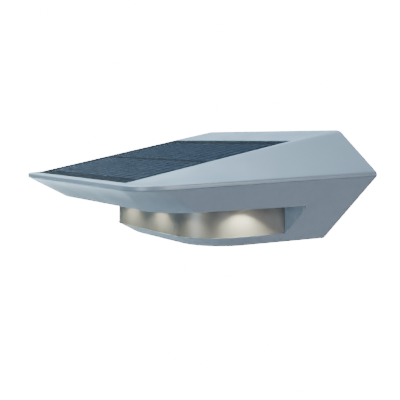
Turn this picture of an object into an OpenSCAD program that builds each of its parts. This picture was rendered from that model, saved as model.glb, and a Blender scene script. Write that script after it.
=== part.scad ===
// Solar wall light: a wedge with a solar panel in its roof, hung on a wall bracket.
// X runs along the wall, Y into the wall and Z up. The origin lies on the wall, midway between the
// bracket's two screw holes.

/* [Overall form] */
// Width across the ridge where it meets the wall
ridge_width = 276.8; // [268:0.4:288]
// Depth from the wall to the front lip
depth = 202; // [198:0.5:210]
// Height of the roof's edge at the wall, above the underside
height = 93.7; // [91:0.1:98]
// Height of the ridge at the wall
ridge_height = 56.7; // [55.5:0.1:58.5]
// Height of the lip's lower edge at the front
lip_height = 50.9; // [50:0.1:52.5]
// Width across the front lip before its corners are rounded
lip_width = 233.6; // [228:0.4:240]
// Corner radius of the front lip
lip_radius = 28; // [24:0.5:32]
// Upright band of the lip at the front
band_front = 3.6; // [3.4:0.1:4.2]
// Upright band of the ridge at the wall
band_wall = 2.8; // [2.6:0.1:3.4]
// Rounding of the band's upper edge
brow_round = 2.2; // [1.6:0.1:2.4]

/* [Underside] */
// Width of the underside at the wall
base_width = 156.8; // [154:0.4:164]
// Depth of the underside
base_depth = 117.4; // [116:0.2:122]
// Corner radius of the underside
base_radius = 37.6; // [34:0.2:40]
// Bevel along the underside's edge
base_edge = 0.8; // [0.4:0.1:1.2]

/* [Roof and panel] */
// Width of the roof at the wall
roof_width = 194.4; // [192:0.2:200]
// Width of the roof at the front lip
roof_front_width = 178.6; // [178.4:0.1:180]
// Rounding of the roof's side edge at the wall
crease_wall = 4; // [2:0.2:5]
// Rounding of the roof's side edge beside the panel
crease_panel = 0.8; // [0.4:0.1:1]
// Length of the solar panel along the roof
panel_length = 152.4; // [146:0.2:154]
// Width of the panel at its front edge
panel_front_width = 176.8; // [172:0.2:177]
// Width of the panel at its back edge
panel_back_width = 180.4; // [176:0.2:182]
// Rim between the panel and the front lip, along the roof
panel_rim = 5.5; // [5:0.1:7]
// Thickness of the cover pane
glass_t = 0.5; // [0.4:0.05:0.6]
// Cell strips in each row
strips = 13; // [9:1:15]

/* [Light slot] */
// Height of the slot's floor
slot_floor = 8.8; // [8:0.1:10]
// Height of the slot's ceiling
slot_ceiling = 33.4; // [31:0.1:35]
// Distance from the wall to the slot's ends
slot_end = 48.1; // [46:0.1:54]
// Distance from the floor's edge back to the reflector band
slot_inset = 0.8; // [0.6:0.1:1.4]
// Thickness of the reflector band
band_t = 1; // [0.8:0.1:1.2]

/* [Walls] */
// Wall of the main housing
wall = 2.5; // [2.2:0.1:2.8]
// Thickness of the roof over the inside
roof_t = 4.6; // [4.5:0.1:5]
// Width of the rim where cover and housing meet
rim = 8; // [7.6:0.1:9]
// Wall at the back
back_wall = 6.4; // [6.2:0.1:7]

/* [Wall bracket] */
// Width of the bracket
bracket_width = 130; // [122:1:134]
// Thickness of the bracket
bracket_t = 2; // [1.6:0.1:2.2]
// Height of the wall screws above the underside
mount_height = 30; // [29.5:0.1:31]
// Distance between the wall screws
mount_spacing = 100; // [90:1:104]
// Hole for a wall screw
mount_hole_d = 5; // [4.4:0.1:5.4]
// Travel of the light as it lifts off its hooks
lift = 10; // [9:0.1:10.4]

/* [Battery and switch] */
// Diameter of a cell
cell_d = 18.4; // [18:0.1:18.6]
// Length of a cell
cell_length = 65.2; // [64:0.1:66]
// Diameter of the switch button
button_d = 11; // [10:0.1:12]
// Travel of the switch button
button_travel = 1.5; // [1:0.1:1.6]

/* [Hidden] */
$fn = 64;

// Colours as the object shows them
paint = "#9fb1c0";
satin = "#c9c8bd";
slate = "#33485a";
cell_blue = "#40587c";
steel = "#b8bcc0";
black = "#2b2e31";
board_green = "#2f6b4a";
rubber_grey = "#4b4f53";

// How far a cut runs past the face that it opens
overrun = 1;
// Gap between pieces that sit in each other
seat_gap = 0.1;
// Gap between pieces that move past each other
move_gap = 0.3;
// Steps along a twisted side, round a corner of the outline and over the rounded edges
side_steps = 8;
corner_steps = 14;
brow_steps = 4;
crease_steps = 3;

// Slopes that follow from the sizes above
lip_rise = (ridge_height - lip_height) / depth;
band_fall = (band_front - band_wall) / depth;
roof_rise = (height - lip_height - band_front) / depth;
roof_angle = atan(roof_rise);
roof_length = depth / cos(roof_angle);
lip_angle = atan(lip_rise);
side_lean = (ridge_width - base_width) / 2 / ridge_height;
front_lean = (depth - base_depth) / lip_height;
flare = (base_width / 2 + side_lean * lip_height - lip_width / 2) / depth;

// A plane is [height at the wall, rise towards the wall]
base_plane = [0, 0];
lip_plane = [ridge_height, lip_rise];
brow_plane = [ridge_height + band_wall, lip_rise - band_fall];
roof_plane = [height, roof_rise];

// An outline is [half width at the wall, taper, front, corner radius, back]
lip_outline = [ridge_width / 2, (ridge_width - lip_width) / 2 / depth, depth, lip_radius, 0];
// The roof's flat field ends a little behind the lip
field_rim = 3.5;
field_radius = 3;
roof_outline = [
  roof_width / 2, (roof_width - roof_front_width) / 2 / depth, depth - field_rim, field_radius, 0
];
// Bevel under the lip, along the line where cover and housing meet
lip_edge = 0.6;

// Seal cord between cover and housing
seal_width = 1.8;
seal_height = 1.2;
seal_inset = 4.2;
seal_back = 2.2;

// The cover is solid for this far behind the lip, where the roof and the ridge come together
cover_solid_front = 20;
cover_solid_side = 1;

// Solar panel, in the roof's own plane
panel_front = roof_length - panel_rim;
panel_back = panel_front - panel_length;
cell_t = 0.2;
panel_board_t = 2.3;
tape_t = 0.3;
tape_width = 8;
panel_depth = glass_t + cell_t + panel_board_t + tape_t;
pane_gap = 0.3;
// Dark borders of the panel round and between the rows of strips
cell_border_side = 7.5;
cell_border_front = 13;
cell_border_back = 13;
row_gap = 5;
strip_gap = 0.8;
// Place of the line between the rows, from the panel's back edge
row_line = 80;
lead_hole_r = 4;
lead_hole_inset = 14;

// Screws between housing and cover: places as [across, behind the wall]
post_places = [[62, 20], [58, 90]];
post_r = 4.6;
post_land = 6;
screw_r = 1.5;
screw_hole_r = 1.7;
screw_bite = 10;
screw_head_r = 2.8;
screw_head_t = 2.4;
screw_bore_r = 3.3;
thread_gap = 0.05;
drive_r = 1.2;
drive_depth = 1.4;
drive_sides = 6;

// Lamps above the slot's ceiling, each over a window that is glued in from below
lamp_reach = 10;
lamp_front_x = 25.5;
lamp_side_y = 87;
window_r = 5;
window_t = 1;
beam_r = 1.8;
led_width = 3.5;
led_depth = 2.8;
led_t = 0.7;
led_room_r = 2.6;
led_room_t = 0.9;
led_board_t = 1.6;
led_board_in = 3;
led_board_out = 18;
led_board_gap = 3;
stake_r = 1.25;
stake_front_x = 17;
stake_edge = 3.75;
stake_gap = 0.1;
stake_head = 0.8;

// Wall bracket and the pocket that takes it, from the screw line
plate_below = 9;
plate_above = 17;
plate_corner = 3;
hook_top = 8;
hook_arm_t = 2;
hook_t = 2;
hook_height = 8;
hook_width = 20;
hook_x = 28;
hang_t = 2.5;
hang_gap = 0.2;
pocket_depth = bracket_t + move_gap + hang_t + move_gap + hook_t + move_gap;
pocket_floor = mount_height - plate_below - lift - move_gap;
pocket_top = mount_height + plate_above + move_gap + move_gap;
pocket_half = bracket_width / 2 + move_gap;
shelf = mount_height + hook_top + hang_gap;

// Battery compartment in the underside
battery_y = 80;
cell_gap = 0.6;
contact_room = 4;
tray_t = 1.6;
tray_play = 0.4;
lid_half_x = 46;
lid_half_y = 29;
lid_corner = 4;
lid_t = 2.4;
lid_seal_t = 0.8;
lid_seal_width = 2;
lid_ledge = 2;
lid_screw_x = 41.5;
lid_screw_y = 24.5;
lid_boss_r = 3.3;
lid_boss_height = 12;
lid_screw_r = 1.25;
lid_screw_length = 8;
lid_head_r = 2.4;
lid_head_t = 1.4;
lid_grip_width = 26;
lid_grip_depth = 1.2;
lid_grip_length = 5;
cell_lift = 0.3;
cell_r = cell_d / 2;
bay_half_x = cell_length / 2 + contact_room;
bay_half_y = cell_d + cell_gap / 2 + tray_play;
ledge_top = lid_t + lid_seal_t + lid_ledge;
cell_z = lid_t + lid_seal_t + cell_lift + cell_r;
tray_top = cell_z + cell_r + tray_play + tray_t;
contact_t = 0.4;
contact_size = 9;
spring_r = 3.6;
spring_tip_r = 1.8;
spring_wall = 0.6;
nub_r = 2.8;
nub_t = 1.2;
tray_ear = 7;
tray_ear_t = 2;
tray_ear_y = 11;

// Control board on its four posts
board_x = [-48, 42];
board_y = [18, 48];
board_z = 13;
board_t = 1.6;
board_inset = 4;
board_post_r = 3;
inner_screw_r = 1.25;
inner_screw_length = 5.6;
inner_head_r = 2.3;
inner_head_t = 1.5;
plug_size = [8, 5, 4];
plug_places = [[-36, 32], [31, 40], [31, 26]];
chip_size = [9, 6, 1.6];
chip_places = [[-14, 28], [4, 38]];
coil_r = 5;
coil_height = 5.5;
coil_place = [-26, 38];
cap_r = 3.2;
cap_height = 9;
cap_place = [16, 26];

// Switch under the control board, with its button in the underside
switch_x = 20;
switch_y = 34;
switch_size = 8.6;
switch_drop = 5.6;
stem_r = 1.6;
stem_fit = 0.05;
stem_reach = 2.6;
dish_r = 8.6;
dish_depth = 1;
button_sink = 0.4;
button_flange = 1.3;
button_flange_t = 0.8;
button_pad_r = 11;
button_pad_top = 4.2;
button_dimple_r = 14;
button_dimple = 0.5;
gland_width = 1.6;
gland_height = 1.4;
gland_z = 1.8;
switch_bottom = board_z - switch_drop;
flange_z = button_pad_top + seat_gap;
cap_top = flange_z + button_flange_t;

// Leads inside the light. Each row of shares is one point of the way from start to end,
// as shares of the way across, back and down.
lead_r = 1.1;
lead_sides = 8;
lead_steps = 3;
lead_gap = 0.3;
// Keeps the last step of a rounded stretch from being drawn twice
last_step_share = 0.1;
// A direction that no stretch of a lead runs along
lead_reference = [1, 0.4, 0];
panel_lead_shares = [[0, 0.02, 0.27], [0.33, 0.35, 0.57], [0.85, 0.8, 0.78], [1, 1, 0.91]];
led_lead_shares = [
  [0, 0, -0.28], [0, 0.08, -0.38], [0.06, 0.24, -0.3], [0.41, 0.57, 0.08], [0.88, 0.88, 0.35], [1, 1, 0.67]
];
// The cells' lead leaves the tray sideways and bows over to its plug
battery_lead_y = 12;
battery_lead_z = 6;
battery_lead_out = 5;
battery_lead_bow = 8;

// Outline and loft functions

// The undercut's outline at a height
function section(z) =
  let (front = base_depth + front_lean * z)
  [base_width / 2 + side_lean * z, flare, front, base_radius + (lip_radius - base_radius) * z / lip_height, 0];

// The same outline drawn in at the sides, the front and the back
function inset(o, side, front, back = 0) =
  [o[0] - side * sqrt(1 + o[1] * o[1]), o[1], o[2] - front, o[3] - side, o[4] + back];

function half_at(o, y) = o[0] + o[1] * y;

function corner_centre(o) =
  let (y = o[3] - o[2])
  [half_at(o, y) - o[3] * sqrt(1 + o[1] * o[1]), y];

// A point on the corner's arc, from the side (share 0) to the front (share 1)
function corner_point(o, share) =
  let (start = -atan(o[1]), a = start - (90 + start) * share, c = corner_centre(o))
  [c.x + o[3] * cos(a), c.y + o[3] * sin(a)];

// A point on the side, from the back (share 0) to the corner (share 1)
function side_point(o, share) =
  let (y = -o[4] + (corner_point(o, 0).y + o[4]) * share)
  [half_at(o, y), y];

// A flat side needs no steps, and the twisted facets of the cover need several
function half_outline(o, steps = 1) = [
  for (i = [0 : steps]) side_point(o, i / steps),
  for (i = [1 : corner_steps]) corner_point(o, i / corner_steps)
];

function whole_outline(o, steps = 1) =
  let (h = half_outline(o, steps))
  concat(h, [for (i = [len(h) - 1 : -1 : 0]) [-h[i].x, h[i].y]]);

function ring(o, plane, up = 0, steps = 1) =
  [for (p = whole_outline(o, steps)) [p.x, p.y, plane[0] + plane[1] * p.y + up]];

// A closed body through rings that have the same number of points, from the lowest ring up
module loft(rings) {
  n = len(rings[0]);
  top = len(rings) - 1;
  polyhedron(
    points = [for (r = rings) for (p = r) p],
    faces = concat(
      [[for (i = [n - 1 : -1 : 0]) i]],
      [[for (i = [0 : n - 1]) top * n + i]],
      [concat([for (k = [top : -1 : 0]) k * n + n - 1], [for (k = [0 : top]) k * n])],
      [for (k = [0 : top - 1]) for (i = [0 : n - 2]) [(k + 1) * n + i, k * n + i, k * n + i + 1]],
      [for (k = [0 : top - 1]) for (i = [0 : n - 2]) [(k + 1) * n + i, k * n + i + 1, (k + 1) * n + i + 1]]
    )
  );
}

module plan(o) {
  polygon(whole_outline(o));
}

module plan_ring(outer, inner) {
  difference() {
    plan(outer);
    plan(inner);
  }
}

// A point at distance d from a on the way to b
function towards(a, b, d) = a + (b - a) * d / norm(b - a);

function bend(a, b, c, t) = a * (1 - t) * (1 - t) + b * 2 * t * (1 - t) + c * t * t;

// Rounding of the roof's side edge, which grows behind the panel
function crease_extra(y) = (crease_wall - crease_panel) * max(0, 1 + y / panel_back);

// Stand-up rows of the cover's surface: lip, band, brow, facet, crease and roof
function cover_rings() =
  let (
    lip = ring(lip_outline, lip_plane, 0, side_steps),
    brow = ring(lip_outline, brow_plane, 0, side_steps),
    crease = ring(roof_outline, roof_plane, 0, side_steps),
    inner = ring(inset(roof_outline, crease_panel, crease_panel), roof_plane, 0, side_steps),
    field = [for (p = inner) [p.x - sign(p.x) * crease_extra(p.y), p.y, p.z]]
  )
  concat(
    [
      ring(inset(lip_outline, lip_edge, lip_edge), lip_plane, 0, side_steps),
      ring(lip_outline, lip_plane, lip_edge, side_steps)
    ],
    [for (t = [0 : 1 / brow_steps : 1]) [for (i = [0 : len(lip) - 1])
      bend(towards(brow[i], lip[i], brow_round), brow[i], towards(brow[i], crease[i], brow_round), t)]],
    [for (t = [0 : 1 / crease_steps : 1]) [for (i = [0 : len(lip) - 1])
      bend(towards(crease[i], brow[i], crease_panel + crease_extra(crease[i].y)), crease[i], field[i], t)]]
  );

// Frames of reference

// Raises what is drawn from the underside up to its place against the origin at the screw line
module hung() {
  translate([0, 0, -mount_height])
    children();
}

module on_roof() {
  translate([0, 0, height])
    rotate([roof_angle, 0, 0])
      children();
}

module on_lip() {
  translate([0, 0, ridge_height])
    rotate([lip_angle, 0, 0])
      children();
}

module both_sides() {
  for (side = [0, 1])
    mirror([side, 0, 0])
      children();
}

module box(low, high) {
  translate(low)
    cube(high - low);
}

function lip_z(back) = ridge_height - lip_rise * back;

// Slot, core and lamps

function slot_outline() = inset(section(slot_floor), slot_inset, slot_inset);
function core_outline() = inset(slot_outline(), band_t, band_t);

// The space in front of the slot's ends, between two heights and outside an outline
module around_core(o, low, high, end) {
  difference() {
    box([-ridge_width, -depth - overrun, low], [ridge_width, -end, high]);
    translate([0, 0, low - overrun])
      linear_extrude(high - low + overrun + overrun)
        plan(o);
  }
}

// The three places of the lamps on one side: front, corner and flank
function lamp_places() =
  let (
    o = inset(slot_outline(), -lamp_reach, -lamp_reach),
    mid_share = 0.5,
    flank = half_at(o, -lamp_side_y)
  )
  [[lamp_front_x, -o[2]], corner_point(o, mid_share), [flank, -lamp_side_y]];

module at_lamps() {
  both_sides()
    for (p = lamp_places())
      translate([p.x, p.y, slot_ceiling])
        children();
}

// Pins on the ceiling that hold the lamp board
module at_stakes() {
  o = inset(slot_outline(), stake_edge - led_board_out, stake_edge - led_board_out);
  both_sides()
    for (p = [[stake_front_x, -o[2]], [half_at(o, -lamp_side_y), -lamp_side_y]])
      translate([p.x, p.y, slot_ceiling + wall])
        children();
}

// Posts, bosses and screws

module at_posts() {
  both_sides()
    for (p = post_places)
      translate([p.x, -p.y, lip_z(p.y)])
        children();
}

module at_lid_screws() {
  for (x = [-lid_screw_x, lid_screw_x])
    for (y = [-lid_screw_y, lid_screw_y])
      translate([x, y - battery_y, 0])
        children();
}

module at_board_posts() {
  for (x = [board_x[0] + board_inset, board_x[1] - board_inset])
    for (y = [board_y[0] + board_inset, board_y[1] - board_inset])
      translate([x, -y, 0])
        children();
}

module at_tray_ears() {
  for (side = [-1, 1])
    translate([side * (bay_half_x + tray_t + tray_ear / 2), side * tray_ear_y - battery_y, 0])
      children();
}

// The seats of the small screws that hold the board and the tray
module at_inner_screws() {
  at_board_posts()
    translate([0, 0, board_z + board_t])
      children();
  at_tray_ears()
    translate([0, 0, ledge_top + wall + tray_ear_t])
      children();
}

// A pan head screw whose head rests on z = 0 and whose shank points down
module screw(r, length, head_r, head_t) {
  difference() {
    union() {
      translate([0, 0, -length])
        cylinder(r = r, h = length + head_t / 2);
      cylinder(r = head_r, h = head_t);
    }
    translate([0, 0, head_t - drive_depth * head_t / screw_head_t])
      cylinder(r = drive_r, h = drive_depth + overrun, $fn = drive_sides);
  }
}

// Main housing

module lower_form() {
  loft([
    ring(inset(section(0), base_edge, base_edge), base_plane),
    ring(section(base_edge), base_plane, base_edge),
    ring(lip_outline, lip_plane)
  ]);
}

// The housing's inside, between its floor and the rim that carries the cover
function hollow_floor() = inset(
  section(wall), wall * sqrt(1 + side_lean * side_lean), wall * sqrt(1 + front_lean * front_lean), back_wall
);
function hollow_rim() = inset(lip_outline, rim, rim, back_wall);

module lower_hollow() {
  loft([
    ring(hollow_floor(), base_plane, wall),
    ring(hollow_rim(), lip_plane, overrun)
  ]);
}

module rounded_plate(half_x, half_y, r, t) {
  linear_extrude(t) {
    square([half_x * 2, half_y * 2 - r * 2], center = true);
    square([half_x * 2 - r * 2, half_y * 2], center = true);
    for (x = [r - half_x, half_x - r])
      for (y = [r - half_y, half_y - r])
        translate([x, y])
          circle(r = r);
  }
}

module housing_keep() {
  around_core(inset(core_outline(), wall, wall), slot_floor - wall, slot_ceiling + wall, slot_end - wall);
  box([-pocket_half - wall, -pocket_depth - wall, pocket_floor - wall], [pocket_half + wall, 0, pocket_top + wall]);
  at_posts()
    translate([0, 0, -ridge_height])
      cylinder(r = post_r, h = ridge_height * 2);
  translate([0, -battery_y, 0])
    rounded_plate(lid_half_x + wall, lid_half_y + wall, lid_corner + wall, ledge_top);
  at_lid_screws()
    cylinder(r = lid_boss_r, h = lid_boss_height);
  at_board_posts()
    cylinder(r = board_post_r, h = board_z);
  at_tray_ears()
    cylinder(r = board_post_r, h = ledge_top + wall);
  translate([switch_x, -switch_y, 0])
    cylinder(r = button_pad_r, h = button_pad_top);
  at_stakes()
    cylinder(r = stake_r, h = led_board_t + stake_head);
}

module bracket_pocket() {
  // Room for the plate, then the hooks' room behind the hanging wall, then the way in below it
  box([-pocket_half, -bracket_t - move_gap, pocket_floor], [pocket_half, overrun, pocket_top]);
  for (side = [-1, 1])
    translate([side * hook_x, 0, 0])
      box(
        [-hook_width / 2 - move_gap, -pocket_depth, pocket_floor],
        [hook_width / 2 + move_gap, -bracket_t - move_gap - hang_t, shelf + hook_height + move_gap]
      );
  box([-pocket_half, -pocket_depth, pocket_floor], [pocket_half, overrun, shelf]);
}

module battery_opening() {
  translate([0, -battery_y, -overrun]) {
    rounded_plate(lid_half_x, lid_half_y, lid_corner, lid_t + lid_seal_t + overrun);
    box([-bay_half_x, -bay_half_y, 0], [bay_half_x, bay_half_y, ledge_top + overrun * 2]);
  }
  at_lid_screws()
    cylinder(r = lid_screw_r + thread_gap, h = lid_boss_height - wall);
}

module button_opening() {
  translate([switch_x, -switch_y, 0]) {
    translate([0, 0, -overrun])
      cylinder(r = dish_r, h = dish_depth + overrun);
    cylinder(r = button_d / 2 + move_gap, h = button_pad_top + overrun);
    translate([0, 0, gland_z])
      cylinder(r = button_d / 2 + move_gap + gland_width, h = gland_height);
  }
}

module housing_cuts() {
  around_core(core_outline(), slot_floor, slot_ceiling, slot_end);
  bracket_pocket();
  battery_opening();
  button_opening();
  at_posts() {
    translate([0, 0, -post_land])
      cylinder(r = screw_hole_r, h = post_land + overrun);
    translate([0, 0, -post_land - ridge_height])
      cylinder(r = screw_bore_r, h = ridge_height);
  }
  at_inner_screws()
    translate([0, 0, -inner_screw_length - seat_gap])
      cylinder(r = inner_screw_r + thread_gap, h = inner_screw_length);
  at_lamps() {
    translate([0, 0, -overrun])
      cylinder(r = window_r + seat_gap, h = window_t + overrun);
    cylinder(r = beam_r, h = wall + overrun);
    translate([0, 0, wall - led_room_t])
      cylinder(r = led_room_r, h = led_room_t + overrun);
  }
  on_lip()
    translate([0, 0, -seal_height])
      linear_extrude(seal_height + overrun)
        plan_ring(
          inset(lip_outline, seal_inset - seat_gap, seal_inset - seat_gap, seal_back - seat_gap),
          inset(
            lip_outline, seal_inset + seal_width + seat_gap, seal_inset + seal_width + seat_gap,
            seal_back + seal_width + seat_gap
          )
        );
}

module main_housing() {
  color(paint)
    hung()
      difference() {
        lower_form();
        difference() {
          lower_hollow();
          housing_keep();
        }
        housing_cuts();
      }
}

// Top cover

module cover_hollow() {
  loft([
    ring(inset(lip_outline, rim, cover_solid_front, back_wall), lip_plane, -overrun),
    ring(inset(roof_outline, cover_solid_side, cover_solid_front, back_wall), roof_plane, -roof_t)
  ]);
}

module panel_shape(clear = 0) {
  front = panel_front_width / 2 - clear;
  back = panel_back_width / 2 - clear;
  polygon([
    [-front, -panel_front + clear], [front, -panel_front + clear],
    [back, -panel_back - clear], [-back, -panel_back - clear]
  ]);
}

// A sheet of the panel, from a depth under the roof's surface
module panel_sheet(under, t, clear) {
  on_roof()
    translate([0, 0, -under - t])
      linear_extrude(t)
        panel_shape(clear);
}

module top_cover() {
  color(paint)
    hung()
      difference() {
        loft(cover_rings());
        difference() {
          cover_hollow();
          at_posts()
            translate([0, 0, -overrun])
              cylinder(r = post_r, h = height);
        }
        on_roof()
          translate([0, 0, -panel_depth])
            linear_extrude(panel_depth + overrun)
              panel_shape();
        on_roof()
          translate([0, -panel_back - lead_hole_inset, -roof_t - overrun])
            cylinder(r = lead_hole_r, h = roof_t);
        at_posts()
          translate([0, 0, -overrun])
            cylinder(r = screw_r + thread_gap, h = screw_bite + overrun + wall);
      }
}

module rim_seal() {
  color(rubber_grey)
    hung()
      on_lip()
        translate([0, 0, -seal_height])
          linear_extrude(seal_height)
            plan_ring(
              inset(lip_outline, seal_inset, seal_inset, seal_back),
              inset(lip_outline, seal_inset + seal_width, seal_inset + seal_width, seal_back + seal_width)
            );
}

module housing_screws() {
  color(steel)
    hung()
      at_posts()
        translate([0, 0, -post_land])
          mirror([0, 0, 1])
            screw(screw_r, post_land + screw_bite, screw_head_r, screw_head_t);
}

// Solar panel

module panel_glass() {
  color(slate, 0.8)
    hung()
      panel_sheet(0, glass_t, pane_gap);
}

// One row of strips between two distances from the panel's back edge
module cell_row(from, to) {
  field = min(panel_front_width, panel_back_width) - 2 * cell_border_side;
  pitch = field / strips;
  hung()
    on_roof()
      for (i = [0 : strips - 1])
        translate([(i - (strips - 1) / 2) * pitch, 0, -glass_t - cell_t])
          box(
            [(strip_gap - pitch) / 2, -panel_back - to, 0],
            [(pitch - strip_gap) / 2, -panel_back - from, cell_t]
          );
}

module panel_cells_front() {
  color(cell_blue)
    cell_row(row_line + row_gap / 2, panel_length - cell_border_front);
}

module panel_cells_back() {
  color(cell_blue)
    cell_row(cell_border_back, row_line - row_gap / 2);
}

module panel_board() {
  color(black)
    hung()
      panel_sheet(glass_t + cell_t, panel_board_t, pane_gap);
}

module panel_tape() {
  color(rubber_grey)
    hung()
      difference() {
        panel_sheet(glass_t + cell_t + panel_board_t, tape_t, pane_gap);
        on_roof()
          translate([0, 0, -panel_depth - overrun])
            linear_extrude(panel_depth)
              panel_shape(pane_gap + tape_width);
      }
}

// Reflector band and lamps

module reflector_band() {
  color(satin)
    hung()
      difference() {
        translate([0, 0, slot_floor])
          linear_extrude(slot_ceiling - slot_floor)
            plan_ring(slot_outline(), core_outline());
        box([-ridge_width, -slot_end, 0], [ridge_width, overrun, height]);
      }
}

module led_windows() {
  color("white", 0.6)
    hung()
      at_lamps()
        cylinder(r = window_r, h = window_t);
}

module leds() {
  color("lemonchiffon")
    hung()
      at_lamps()
        translate([-led_width / 2, -led_depth / 2, wall - led_t])
          cube([led_width, led_depth, led_t]);
}

// The board's outer edge keeps clear of the housing's leaning wall: it stays inside the outline
// that the wall has a gap lower down
module led_board_plan() {
  low = hollow_floor();
  share = (slot_ceiling - led_board_gap) / ridge_height;
  room = low + (hollow_rim() - low) * share;
  difference() {
    intersection() {
      plan(inset(slot_outline(), -led_board_out, -led_board_out));
      plan(room);
    }
    plan(inset(slot_outline(), -led_board_in, -led_board_in));
  }
}

module led_board() {
  color("whitesmoke")
    hung()
      difference() {
        translate([0, 0, slot_ceiling + wall])
          linear_extrude(led_board_t)
            led_board_plan();
        box([-ridge_width, -slot_end - wall, 0], [ridge_width, overrun, height]);
        at_stakes()
          translate([0, 0, -overrun])
            cylinder(r = stake_r + stake_gap, h = led_board_t + overrun * 2);
      }
}

// Control board

module control_board() {
  color(board_green)
    hung()
      difference() {
        box([board_x[0], -board_y[1], board_z], [board_x[1], -board_y[0], board_z + board_t]);
        at_board_posts()
          translate([0, 0, board_z - overrun])
            cylinder(r = inner_screw_r + seat_gap, h = board_t + overrun * 2);
      }
}

module board_parts() {
  hung()
    translate([0, 0, board_z + board_t]) {
      color("ivory")
        for (p = plug_places)
          translate([p.x - plug_size.x / 2, -p.y - plug_size.y / 2, 0])
            cube(plug_size);
      color(black)
        for (p = chip_places)
          translate([p.x - chip_size.x / 2, -p.y - chip_size.y / 2, 0])
            cube(chip_size);
      color(rubber_grey)
        translate([coil_place.x, -coil_place.y, 0])
          cylinder(r = coil_r, h = coil_height);
      color(steel)
        translate([cap_place.x, -cap_place.y, 0])
          cylinder(r = cap_r, h = cap_height);
    }
}

module inner_screws() {
  color(steel)
    hung()
      at_inner_screws()
        screw(inner_screw_r, inner_screw_length, inner_head_r, inner_head_t);
}

// Battery

module at_cells() {
  for (side = [-1, 1])
    translate([0, side * (cell_r + cell_gap / 2) - battery_y, cell_z])
      rotate([0, 0, side < 0 ? 0 : 180])
        children();
}

module battery_cells() {
  color("#3f6ea8")
    hung()
      at_cells()
        rotate([0, 90, 0]) {
          translate([0, 0, -cell_length / 2])
            cylinder(r = cell_r, h = cell_length - nub_t);
          translate([0, 0, cell_length / 2 - nub_t])
            cylinder(r = nub_r, h = nub_t);
        }
}

module battery_tray() {
  outer_x = bay_half_x + tray_t;
  outer_y = bay_half_y + tray_t;
  color(black)
    hung()
      difference() {
        translate([0, -battery_y, 0]) {
          box([-outer_x, -outer_y, ledge_top], [outer_x, outer_y, tray_top]);
          for (side = [-1, 1])
            translate([side * (outer_x + tray_ear / 2), side * tray_ear_y, ledge_top + wall])
              box([-tray_ear / 2 - tray_t / 2, -tray_ear / 2, 0], [tray_ear / 2 + tray_t / 2, tray_ear / 2, tray_ear_t]);
        }
        translate([0, -battery_y, 0])
          box([-bay_half_x, -bay_half_y, 0], [bay_half_x, bay_half_y, tray_top - tray_t]);
        at_tray_ears()
          translate([0, 0, ledge_top])
            cylinder(r = inner_screw_r + seat_gap, h = tray_ear_t + wall + overrun);
      }
}

module battery_contacts() {
  color(steel)
    hung()
      at_cells() {
        // Flat plate at the nub end
        box(
          [bay_half_x - contact_t, -contact_size / 2, -contact_size / 2],
          [bay_half_x, contact_size / 2, contact_size / 2]
        );
        box([cell_length / 2, -nub_r, -nub_r], [bay_half_x - contact_t, nub_r, nub_r]);
        // Plate and cone of the spring at the flat end
        box(
          [-bay_half_x, -contact_size / 2, -contact_size / 2],
          [contact_t - bay_half_x, contact_size / 2, contact_size / 2]
        );
        translate([contact_t - bay_half_x, 0, 0])
          rotate([0, 90, 0])
            difference() {
              cylinder(r1 = spring_r, r2 = spring_tip_r, h = contact_room - contact_t);
              cylinder(r1 = spring_r - spring_wall, r2 = spring_tip_r - spring_wall, h = contact_room - contact_t);
            }
      }
}

module battery_cover() {
  color(paint)
    hung()
      difference() {
        translate([0, -battery_y, 0])
          rounded_plate(lid_half_x - move_gap, lid_half_y - move_gap, lid_corner - move_gap, lid_t);
        at_lid_screws() {
          cylinder(r = lid_screw_r + seat_gap, h = lid_t + overrun);
          translate([0, 0, -overrun])
            cylinder(r = lid_head_r + seat_gap, h = lid_head_t + overrun);
        }
        translate([-lid_grip_width / 2, -battery_y - lid_half_y + lid_grip_length, -overrun])
          cube([lid_grip_width, lid_grip_length, lid_grip_depth + overrun]);
      }
}

module battery_cover_seal() {
  color(rubber_grey)
    hung()
      translate([0, -battery_y, lid_t])
        difference() {
          rounded_plate(bay_half_x + lid_seal_width, bay_half_y + lid_seal_width, lid_seal_width, lid_seal_t);
          translate([0, 0, -overrun])
            linear_extrude(lid_seal_t + overrun * 2)
              square([bay_half_x * 2, bay_half_y * 2], center = true);
        }
}

module battery_cover_screws() {
  color(steel)
    hung()
      at_lid_screws()
        translate([0, 0, lid_head_t])
          mirror([0, 0, 1])
            screw(lid_screw_r, lid_screw_length, lid_head_r, lid_head_t);
}

// Switch

module at_switch() {
  hung()
    translate([switch_x, -switch_y, 0])
      children();
}

module switch_body() {
  color(black)
    at_switch()
      difference() {
        box([-switch_size / 2, -switch_size / 2, switch_bottom], [switch_size / 2, switch_size / 2, board_z]);
        translate([0, 0, switch_bottom - overrun])
          cylinder(r = stem_r + stem_fit, h = overrun + stem_reach + button_travel + move_gap);
      }
}

module switch_stem() {
  color("ivory")
    at_switch()
      translate([0, 0, cap_top])
        cylinder(r = stem_r, h = switch_bottom + stem_reach - cap_top);
}

module switch_button() {
  color(rubber_grey)
    at_switch()
      difference() {
        union() {
          translate([0, 0, button_sink])
            cylinder(r = button_d / 2, h = flange_z - button_sink);
          translate([0, 0, flange_z])
            cylinder(r = button_d / 2 + button_flange, h = button_flange_t);
        }
        translate([0, 0, button_sink + button_dimple - button_dimple_r])
          sphere(r = button_dimple_r);
      }
}

module switch_seal() {
  color(rubber_grey)
    at_switch()
      translate([0, 0, gland_z])
        difference() {
          cylinder(r = button_d / 2 + move_gap + gland_width - seat_gap, h = gland_height);
          translate([0, 0, -overrun])
            cylinder(r = button_d / 2 + move_gap, h = gland_height + overrun * 2);
        }
}

// Wall bracket

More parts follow.
